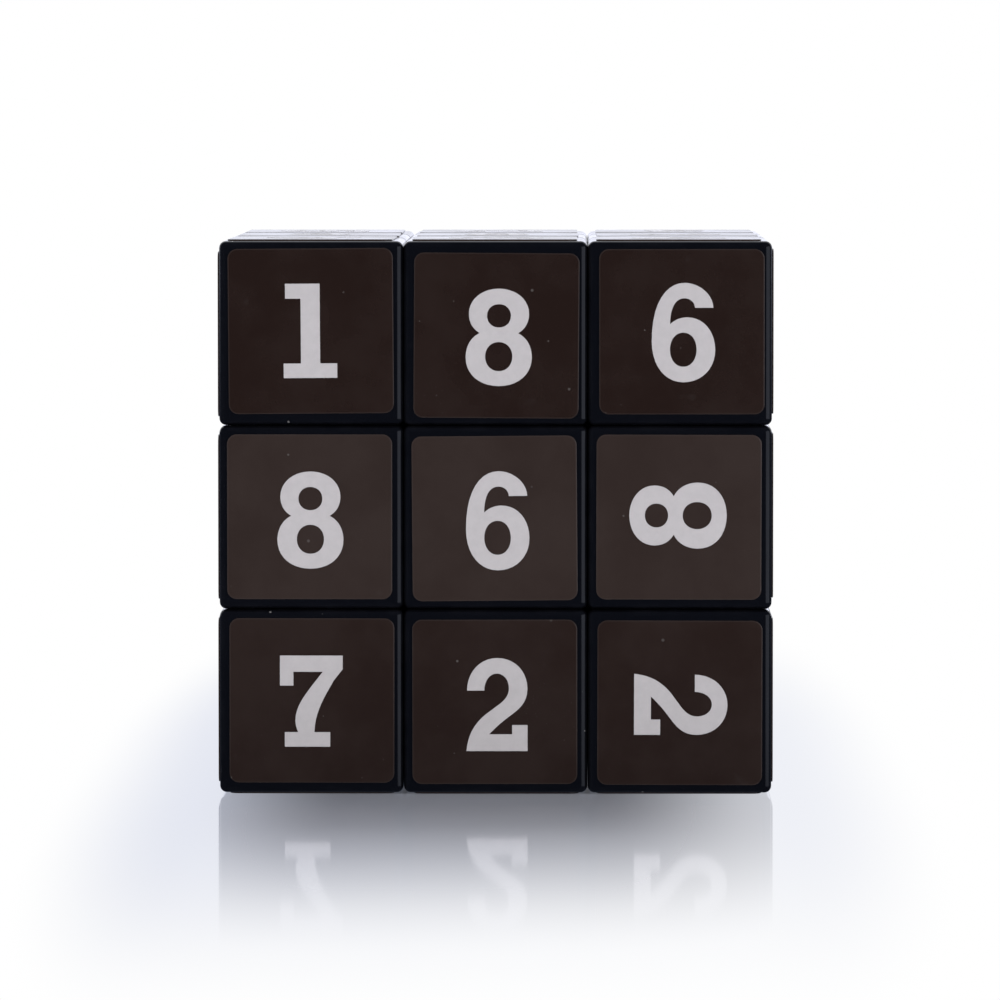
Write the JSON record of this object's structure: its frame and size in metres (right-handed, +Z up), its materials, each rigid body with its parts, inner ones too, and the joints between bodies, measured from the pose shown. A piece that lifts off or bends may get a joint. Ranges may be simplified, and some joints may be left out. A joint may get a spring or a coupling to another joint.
{
  "type": "number puzzle cube",
  "caption": "Twist puzzle cube with a numeral on a dark sticker on every cubie face; each face turns on a sprung, screwed centre.",
  "frame": {"origin": "middle of the bottom face, on the surface that the cube stands on", "axes": "+Z up through the top face, -Y out of the front face, +X out of the right face"},
  "size_m": [0.057, 0.0572, 0.057],
  "materials": {
    "body": "black moulded plastic, satin to glossy, with fine scuffs",
    "sticker": "dark brown laminated vinyl with a soft gloss and a thin cut rim",
    "numeral": "light grey printed ink",
    "core": "natural white moulded plastic",
    "steel": "plated steel",
    "spring_steel": "drawn spring wire"
  },
  "bodies": {
    "core": {"core": "core", "screw_top": "steel", "washer_top": "steel", "spring_top": "spring_steel", "screw_bottom": "steel", "washer_bottom": "steel", "spring_bottom": "spring_steel", "screw_front": "steel", "washer_front": "steel", "spring_front": "spring_steel", "screw_back": "steel", "washer_back": "steel", "spring_back": "spring_steel", "screw_left": "steel", "washer_left": "steel", "spring_left": "spring_steel", "screw_right": "steel", "washer_right": "steel", "spring_right": "spring_steel"},
    "face_top": {"centre_top": "body", "cap_top": "body"},
    "face_bottom": {"centre_bottom": "body", "cap_bottom": "body"},
    "face_front": {"centre_front": "body", "cap_front": "body", "sticker_front_middle_middle": "sticker"},
    "face_back": {"centre_back": "body", "cap_back": "body"},
    "face_left": {"centre_left": "body", "cap_left": "body"},
    "face_right": {"centre_right": "body", "cap_right": "body"},
    "edge_top_front": {"edge_top_front": "body", "sticker_front_top_middle": "sticker"},
    "edge_top_back": {"edge_top_back": "body"},
    "edge_bottom_front": {"edge_bottom_front": "body", "sticker_front_bottom_middle": "sticker"},
    "edge_bottom_back": {"edge_bottom_back": "body"},
    "edge_top_left": {"edge_top_left": "body"},
    "edge_top_right": {"edge_top_right": "body"},
    "edge_bottom_left": {"edge_bottom_left": "body"},
    "edge_bottom_right": {"edge_bottom_right": "body"},
    "edge_front_left": {"edge_front_left": "body", "sticker_front_middle_left": "sticker"},
    "edge_front_right": {"edge_front_right": "body", "sticker_front_middle_right": "sticker"},
    "edge_back_left": {"edge_back_left": "body"},
    "edge_back_right": {"edge_back_right": "body"},
    "corner_top_front_left": {"corner_top_front_left": "body", "sticker_front_top_left": "sticker"},
    "corner_top_front_right": {"corner_top_front_right": "body", "sticker_front_top_right": "sticker"},
    "corner_top_back_left": {"corner_top_back_left": "body"},
    "corner_top_back_right": {"corner_top_back_right": "body"},
    "corner_bottom_front_left": {"corner_bottom_front_left": "body", "sticker_front_bottom_left": "sticker"},
    "corner_bottom_front_right": {"corner_bottom_front_right": "body", "sticker_front_bottom_right": "sticker"},
    "corner_bottom_back_left": {"corner_bottom_back_left": "body"},
    "corner_bottom_back_right": {"corner_bottom_back_right": "body"}
  },
  "joints": [
    {"name": "top_turn", "type": "hinge", "parent": "core", "child": "face_top", "pos_m": [0, 0, 0.0285], "axis": [0, 0, 1], "continuous": true},
    {"name": "bottom_turn", "type": "hinge", "parent": "core", "child": "face_bottom", "pos_m": [0, 0, 0.0285], "axis": [0, 0, -1], "continuous": true},
    {"name": "front_turn", "type": "hinge", "parent": "core", "child": "face_front", "pos_m": [0, 0, 0.0285], "axis": [0, -1, 0], "continuous": true},
    {"name": "back_turn", "type": "hinge", "parent": "core", "child": "face_back", "pos_m": [0, 0, 0.0285], "axis": [0, 1, 0], "continuous": true},
    {"name": "left_turn", "type": "hinge", "parent": "core", "child": "face_left", "pos_m": [0, 0, 0.0285], "axis": [-1, 0, 0], "continuous": true},
    {"name": "right_turn", "type": "hinge", "parent": "core", "child": "face_right", "pos_m": [0, 0, 0.0285], "axis": [1, 0, 0], "continuous": true},
    {"name": "edge_top_front_with_front", "type": "hinge", "parent": "face_top", "child": "edge_top_front", "pos_m": [0, 0, 0.0285], "axis": [0, -1, 0], "continuous": true},
    {"name": "edge_top_back_with_back", "type": "hinge", "parent": "face_top", "child": "edge_top_back", "pos_m": [0, 0, 0.0285], "axis": [0, 1, 0], "continuous": true},
    {"name": "edge_bottom_front_with_front", "type": "hinge", "parent": "face_bottom", "child": "edge_bottom_front", "pos_m": [0, 0, 0.0285], "axis": [0, -1, 0], "continuous": true},
    {"name": "edge_bottom_back_with_back", "type": "hinge", "parent": "face_bottom", "child": "edge_bottom_back", "pos_m": [0, 0, 0.0285], "axis": [0, 1, 0], "continuous": true},
    {"name": "edge_top_left_with_top", "type": "hinge", "parent": "face_left", "child": "edge_top_left", "pos_m": [0, 0, 0.0285], "axis": [0, 0, 1], "continuous": true},
    {"name": "edge_top_right_with_top", "type": "hinge", "parent": "face_right", "child": "edge_top_right", "pos_m": [0, 0, 0.0285], "axis": [0, 0, 1], "continuous": true},
    {"name": "edge_bottom_left_with_bottom", "type": "hinge", "parent": "face_left", "child": "edge_bottom_left", "pos_m": [0, 0, 0.0285], "axis": [0, 0, -1], "continuous": true},
    {"name": "edge_bottom_right_with_bottom", "type": "hinge", "parent": "face_right", "child": "edge_bottom_right", "pos_m": [0, 0, 0.0285], "axis": [0, 0, -1], "continuous": true},
    {"name": "edge_front_left_with_left", "type": "hinge", "parent": "face_front", "child": "edge_front_left", "pos_m": [0, 0, 0.0285], "axis": [-1, 0, 0], "continuous": true},
    {"name": "edge_front_right_with_right", "type": "hinge", "parent": "face_front", "child": "edge_front_right", "pos_m": [0, 0, 0.0285], "axis": [1, 0, 0], "continuous": true},
    {"name": "edge_back_left_with_left", "type": "hinge", "parent": "face_back", "child": "edge_back_left", "pos_m": [0, 0, 0.0285], "axis": [-1, 0, 0], "continuous": true},
    {"name": "edge_back_right_with_right", "type": "hinge", "parent": "face_back", "child": "edge_back_right", "pos_m": [0, 0, 0.0285], "axis": [1, 0, 0], "continuous": true},
    {"name": "corner_top_front_left_with_left", "type": "hinge", "parent": "edge_top_front", "child": "corner_top_front_left", "pos_m": [0, 0, 0.0285], "axis": [-1, 0, 0], "continuous": true},
    {"name": "corner_top_front_right_with_right", "type": "hinge", "parent": "edge_top_front", "child": "corner_top_front_right", "pos_m": [0, 0, 0.0285], "axis": [1, 0, 0], "continuous": true},
    {"name": "corner_top_back_left_with_left", "type": "hinge", "parent": "edge_top_back", "child": "corner_top_back_left", "pos_m": [0, 0, 0.0285], "axis": [-1, 0, 0], "continuous": true},
    {"name": "corner_top_back_right_with_right", "type": "hinge", "parent": "edge_top_back", "child": "corner_top_back_right", "pos_m": [0, 0, 0.0285], "axis": [1, 0, 0], "continuous": true},
    {"name": "corner_bottom_front_left_with_left", "type": "hinge", "parent": "edge_bottom_front", "child": "corner_bottom_front_left", "pos_m": [0, 0, 0.0285], "axis": [-1, 0, 0], "continuous": true},
    {"name": "corner_bottom_front_right_with_right", "type": "hinge", "parent": "edge_bottom_front", "child": "corner_bottom_front_right", "pos_m": [0, 0, 0.0285], "axis": [1, 0, 0], "continuous": true},
    {"name": "corner_bottom_back_left_with_left", "type": "hinge", "parent": "edge_bottom_back", "child": "corner_bottom_back_left", "pos_m": [0, 0, 0.0285], "axis": [-1, 0, 0], "continuous": true},
    {"name": "corner_bottom_back_right_with_right", "type": "hinge", "parent": "edge_bottom_back", "child": "corner_bottom_back_right", "pos_m": [0, 0, 0.0285], "axis": [1, 0, 0], "continuous": true}
  ],
  "couplings": [
    {"joint": "edge_top_front_with_front", "follows": "front_turn", "ratio": 1},
    {"joint": "edge_top_back_with_back", "follows": "back_turn", "ratio": 1},
    {"joint": "edge_bottom_front_with_front", "follows": "front_turn", "ratio": 1},
    {"joint": "edge_bottom_back_with_back", "follows": "back_turn", "ratio": 1},
    {"joint": "edge_top_left_with_top", "follows": "top_turn", "ratio": 1},
    {"joint": "edge_top_right_with_top", "follows": "top_turn", "ratio": 1},
    {"joint": "edge_bottom_left_with_bottom", "follows": "bottom_turn", "ratio": 1},
    {"joint": "edge_bottom_right_with_bottom", "follows": "bottom_turn", "ratio": 1},
    {"joint": "edge_front_left_with_left", "follows": "left_turn", "ratio": 1},
    {"joint": "edge_front_right_with_right", "follows": "right_turn", "ratio": 1},
    {"joint": "edge_back_left_with_left", "follows": "left_turn", "ratio": 1},
    {"joint": "edge_back_right_with_right", "follows": "right_turn", "ratio": 1},
    {"joint": "corner_top_front_left_with_left", "follows": "left_turn", "ratio": 1},
    {"joint": "corner_top_front_right_with_right", "follows": "right_turn", "ratio": 1},
    {"joint": "corner_top_back_left_with_left", "follows": "left_turn", "ratio": 1},
    {"joint": "corner_top_back_right_with_right", "follows": "right_turn", "ratio": 1},
    {"joint": "corner_bottom_front_left_with_left", "follows": "left_turn", "ratio": 1},
    {"joint": "corner_bottom_front_right_with_right", "follows": "right_turn", "ratio": 1},
    {"joint": "corner_bottom_back_left_with_left", "follows": "left_turn", "ratio": 1},
    {"joint": "corner_bottom_back_right_with_right", "follows": "right_turn", "ratio": 1}
  ]
}
